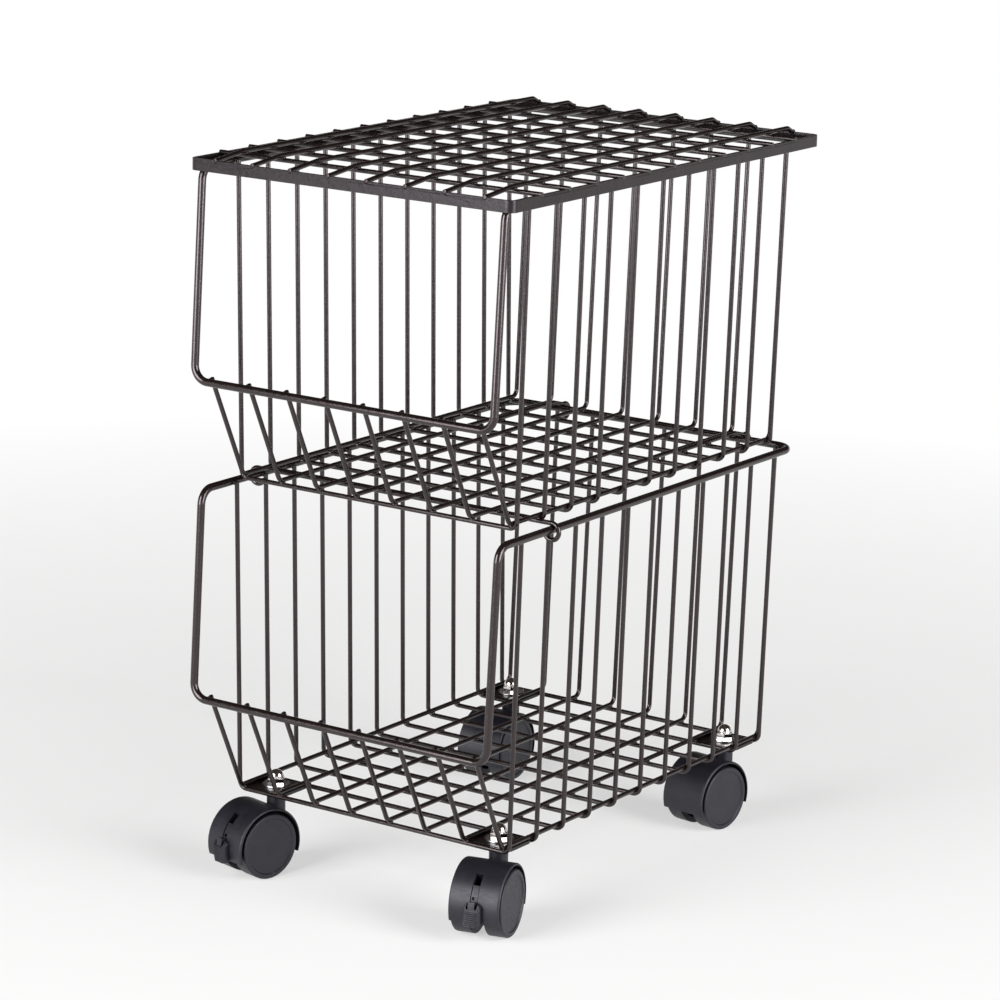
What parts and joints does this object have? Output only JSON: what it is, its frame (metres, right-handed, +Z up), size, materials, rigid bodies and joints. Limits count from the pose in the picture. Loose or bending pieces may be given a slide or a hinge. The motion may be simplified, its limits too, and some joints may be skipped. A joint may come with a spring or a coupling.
{
  "type": "rolling basket rack",
  "caption": "Rolling wire rack of open-front baskets stacked by curled hooks, with a lift-off wire lid and swivel casters, foot brakes at the front.",
  "frame": {"origin": "on the ground, under the middle of the rack's outline", "axes": "+Z up, X to the right seen from the open front, Y towards the back; the front faces -Y"},
  "size_m": [0.24, 0.3567, 0.4661],
  "materials": {
    "wire_coat": "semi-gloss powder coat, very dark brown",
    "caster_plastic": "satin moulded black plastic",
    "wheel_plastic": "satin moulded black plastic",
    "chrome": "polished plating",
    "steel": "zinc-plated steel"
  },
  "bodies": {
    "rack": {"lower_rim_wire": "wire_coat", "lower_cross_wires": "wire_coat", "lower_long_wires": "wire_coat", "upper_rim_wire": "wire_coat", "upper_cross_wires": "wire_coat", "upper_long_wires": "wire_coat", "side_hook_rod": "wire_coat", "back_hook_rods": "wire_coat", "caster_plates": "wire_coat", "plate_washers": "chrome", "acorn_nuts": "chrome", "caster_stem_front_left": "steel", "caster_stem_front_right": "steel", "caster_stem_rear_left": "steel", "caster_stem_rear_right": "steel"},
    "lid": {"lid_frame": "wire_coat", "lid_cross_wires": "wire_coat", "lid_long_wires": "wire_coat"},
    "front_left_caster": {"caster_hood_front_left": "caster_plastic", "axle_front_left": "steel"},
    "front_left_left_wheel": {"left_wheel_front_left": "wheel_plastic"},
    "front_left_right_wheel": {"right_wheel_front_left": "wheel_plastic"},
    "front_left_brake": {"brake_lever_front_left": "caster_plastic"},
    "front_right_caster": {"caster_hood_front_right": "caster_plastic", "axle_front_right": "steel"},
    "front_right_left_wheel": {"left_wheel_front_right": "wheel_plastic"},
    "front_right_right_wheel": {"right_wheel_front_right": "wheel_plastic"},
    "front_right_brake": {"brake_lever_front_right": "caster_plastic"},
    "rear_left_caster": {"caster_hood_rear_left": "caster_plastic", "axle_rear_left": "steel"},
    "rear_left_left_wheel": {"left_wheel_rear_left": "wheel_plastic"},
    "rear_left_right_wheel": {"right_wheel_rear_left": "wheel_plastic"},
    "rear_right_caster": {"caster_hood_rear_right": "caster_plastic", "axle_rear_right": "steel"},
    "rear_right_left_wheel": {"left_wheel_rear_right": "wheel_plastic"},
    "rear_right_right_wheel": {"right_wheel_rear_right": "wheel_plastic"}
  },
  "joints": [
    {"name": "lid_lift", "type": "slide", "parent": "rack", "child": "lid", "axis": [0, 0, 1], "range_m": [0, 0.08]},
    {"name": "front_left_swivel", "type": "hinge", "parent": "rack", "child": "front_left_caster", "pos_m": [-0.08687, -0.1237, 0.045], "axis": [0, 0, 1], "continuous": true},
    {"name": "front_left_left_wheel_spin", "type": "hinge", "parent": "front_left_caster", "child": "front_left_left_wheel", "pos_m": [-0.09074, -0.14128, 0.0213], "axis": [0.9767, -0.2147, 0], "continuous": true},
    {"name": "front_left_right_wheel_spin", "type": "hinge", "parent": "front_left_caster", "child": "front_left_right_wheel", "pos_m": [-0.09074, -0.14128, 0.0213], "axis": [0.9767, -0.2147, 0], "continuous": true},
    {"name": "front_left_brake_lift", "type": "hinge", "parent": "front_left_caster", "child": "front_left_brake", "pos_m": [-0.09074, -0.14128, 0.0213], "axis": [-0.9767, 0.2147, 0], "range_deg": [0, 16]},
    {"name": "front_right_swivel", "type": "hinge", "parent": "rack", "child": "front_right_caster", "pos_m": [0.08687, -0.1237, 0.045], "axis": [0, 0, 1], "continuous": true},
    {"name": "front_right_left_wheel_spin", "type": "hinge", "parent": "front_right_caster", "child": "front_right_left_wheel", "pos_m": [0.09132, -0.14114, 0.0213], "axis": [0.969, 0.247, 0], "continuous": true},
    {"name": "front_right_right_wheel_spin", "type": "hinge", "parent": "front_right_caster", "child": "front_right_right_wheel", "pos_m": [0.09132, -0.14114, 0.0213], "axis": [0.969, 0.247, 0], "continuous": true},
    {"name": "front_right_brake_lift", "type": "hinge", "parent": "front_right_caster", "child": "front_right_brake", "pos_m": [0.09132, -0.14114, 0.0213], "axis": [-0.969, -0.247, 0], "range_deg": [0, 16]},
    {"name": "rear_left_swivel", "type": "hinge", "parent": "rack", "child": "rear_left_caster", "pos_m": [-0.08687, 0.14, 0.045], "axis": [0, 0, 1], "continuous": true},
    {"name": "rear_left_left_wheel_spin", "type": "hinge", "parent": "rear_left_caster", "child": "rear_left_left_wheel", "pos_m": [-0.0858, 0.12203, 0.0213], "axis": [0.9982, 0.0593, 0], "continuous": true},
    {"name": "rear_left_right_wheel_spin", "type": "hinge", "parent": "rear_left_caster", "child": "rear_left_right_wheel", "pos_m": [-0.0858, 0.12203, 0.0213], "axis": [0.9982, 0.0593, 0], "continuous": true},
    {"name": "rear_right_swivel", "type": "hinge", "parent": "rack", "child": "rear_right_caster", "pos_m": [0.08687, 0.14, 0.045], "axis": [0, 0, 1], "continuous": true},
    {"name": "rear_right_left_wheel_spin", "type": "hinge", "parent": "rear_right_caster", "child": "rear_right_left_wheel", "pos_m": [0.08462, 0.12214, 0.0213], "axis": [0.9921, -0.1253, 0], "continuous": true},
    {"name": "rear_right_right_wheel_spin", "type": "hinge", "parent": "rear_right_caster", "child": "rear_right_right_wheel", "pos_m": [0.08462, 0.12214, 0.0213], "axis": [0.9921, -0.1253, 0], "continuous": true}
  ]
}
